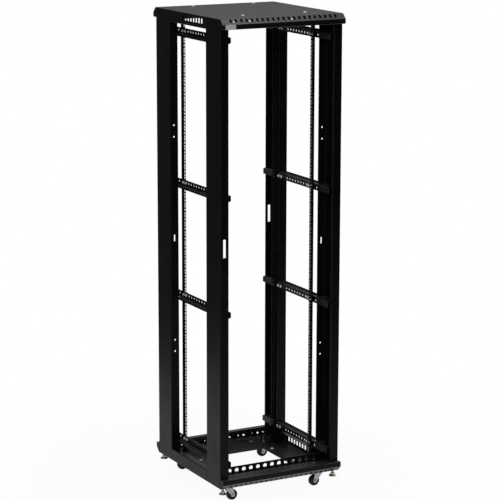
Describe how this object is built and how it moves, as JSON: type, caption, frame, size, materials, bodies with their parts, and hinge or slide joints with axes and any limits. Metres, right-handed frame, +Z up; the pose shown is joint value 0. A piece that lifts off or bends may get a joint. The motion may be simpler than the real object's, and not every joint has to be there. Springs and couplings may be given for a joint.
{
  "type": "four post open frame rack",
  "caption": "Open frame server rack: folded black steel posts with square-hole mounting rails, side braces, a solid cover and an open base on swivel casters.",
  "frame": {"origin": "on the floor, at the middle of the rack's plan", "axes": "+Z up, the rack's front faces -Y, its right side is +X"},
  "size_m": [0.611, 0.682, 2.186],
  "materials": {
    "frame_coat": "textured black powder coat",
    "post_coat": "textured black powder coat",
    "brace_coat": "textured black powder coat",
    "rail_coat": "black powder coat",
    "zinc_plate": "bright zinc plate",
    "zinc_foot": "yellowed zinc plate",
    "wheel_rubber": "satin black"
  },
  "bodies": {
    "frame": {"base_pan": "frame_coat", "top_cover": "frame_coat", "front_base_beam": "frame_coat", "rear_base_beam": "frame_coat", "front_top_beam": "frame_coat", "rear_top_beam": "frame_coat", "left_base_plate": "frame_coat", "left_top_plate": "frame_coat", "left_top_brace": "brace_coat", "left_upper_brace": "brace_coat", "left_lower_brace": "brace_coat", "left_bottom_brace": "brace_coat", "right_base_plate": "frame_coat", "right_top_plate": "frame_coat", "right_top_brace": "brace_coat", "right_upper_brace": "brace_coat", "right_lower_brace": "brace_coat", "right_bottom_brace": "brace_coat", "front_left_post": "post_coat", "front_left_rail": "rail_coat", "front_left_caster_plate": "zinc_plate", "front_right_post": "post_coat", "front_right_rail": "rail_coat", "front_right_caster_plate": "zinc_plate", "rear_left_post": "post_coat", "rear_left_rail": "rail_coat", "rear_left_caster_plate": "zinc_plate", "rear_right_post": "post_coat", "rear_right_rail": "rail_coat", "rear_right_caster_plate": "zinc_plate"},
    "front_left_caster": {"front_left_caster_fork": "zinc_plate"},
    "front_left_wheel": {"front_left_caster_wheel": "wheel_rubber"},
    "front_left_foot": {"front_left_levelling_foot": "zinc_foot"},
    "front_right_caster": {"front_right_caster_fork": "zinc_plate"},
    "front_right_wheel": {"front_right_caster_wheel": "wheel_rubber"},
    "front_right_foot": {"front_right_levelling_foot": "zinc_foot"},
    "rear_left_caster": {"rear_left_caster_fork": "zinc_plate"},
    "rear_left_wheel": {"rear_left_caster_wheel": "wheel_rubber"},
    "rear_left_foot": {"rear_left_levelling_foot": "zinc_foot"},
    "rear_right_caster": {"rear_right_caster_fork": "zinc_plate"},
    "rear_right_wheel": {"rear_right_caster_wheel": "wheel_rubber"},
    "rear_right_foot": {"rear_right_levelling_foot": "zinc_foot"}
  },
  "joints": [
    {"name": "front_left_swivel", "type": "hinge", "parent": "frame", "child": "front_left_caster", "pos_m": [-0.236, -0.25, 0.07], "axis": [0, 0, 1], "continuous": true},
    {"name": "front_left_wheel_spin", "type": "hinge", "parent": "front_left_caster", "child": "front_left_wheel", "pos_m": [-0.215, -0.25, 0.0254], "axis": [0, 1, 0], "continuous": true},
    {"name": "front_left_foot_screw", "type": "slide", "parent": "frame", "child": "front_left_foot", "axis": [0, 0, 1], "range_m": [-0.055, 0.01]},
    {"name": "front_right_swivel", "type": "hinge", "parent": "frame", "child": "front_right_caster", "pos_m": [0.236, -0.25, 0.07], "axis": [0, 0, 1], "continuous": true},
    {"name": "front_right_wheel_spin", "type": "hinge", "parent": "front_right_caster", "child": "front_right_wheel", "pos_m": [0.215, -0.25, 0.0254], "axis": [0, 1, 0], "continuous": true},
    {"name": "front_right_foot_screw", "type": "slide", "parent": "frame", "child": "front_right_foot", "axis": [0, 0, 1], "range_m": [-0.055, 0.01]},
    {"name": "rear_left_swivel", "type": "hinge", "parent": "frame", "child": "rear_left_caster", "pos_m": [-0.236, 0.25, 0.07], "axis": [0, 0, 1], "continuous": true},
    {"name": "rear_left_wheel_spin", "type": "hinge", "parent": "rear_left_caster", "child": "rear_left_wheel", "pos_m": [-0.215, 0.25, 0.0254], "axis": [0, 1, 0], "continuous": true},
    {"name": "rear_left_foot_screw", "type": "slide", "parent": "frame", "child": "rear_left_foot", "axis": [0, 0, 1], "range_m": [-0.055, 0.01]},
    {"name": "rear_right_swivel", "type": "hinge", "parent": "frame", "child": "rear_right_caster", "pos_m": [0.236, 0.25, 0.07], "axis": [0, 0, 1], "continuous": true},
    {"name": "rear_right_wheel_spin", "type": "hinge", "parent": "rear_right_caster", "child": "rear_right_wheel", "pos_m": [0.215, 0.25, 0.0254], "axis": [0, 1, 0], "continuous": true},
    {"name": "rear_right_foot_screw", "type": "slide", "parent": "frame", "child": "rear_right_foot", "axis": [0, 0, 1], "range_m": [-0.055, 0.01]}
  ]
}
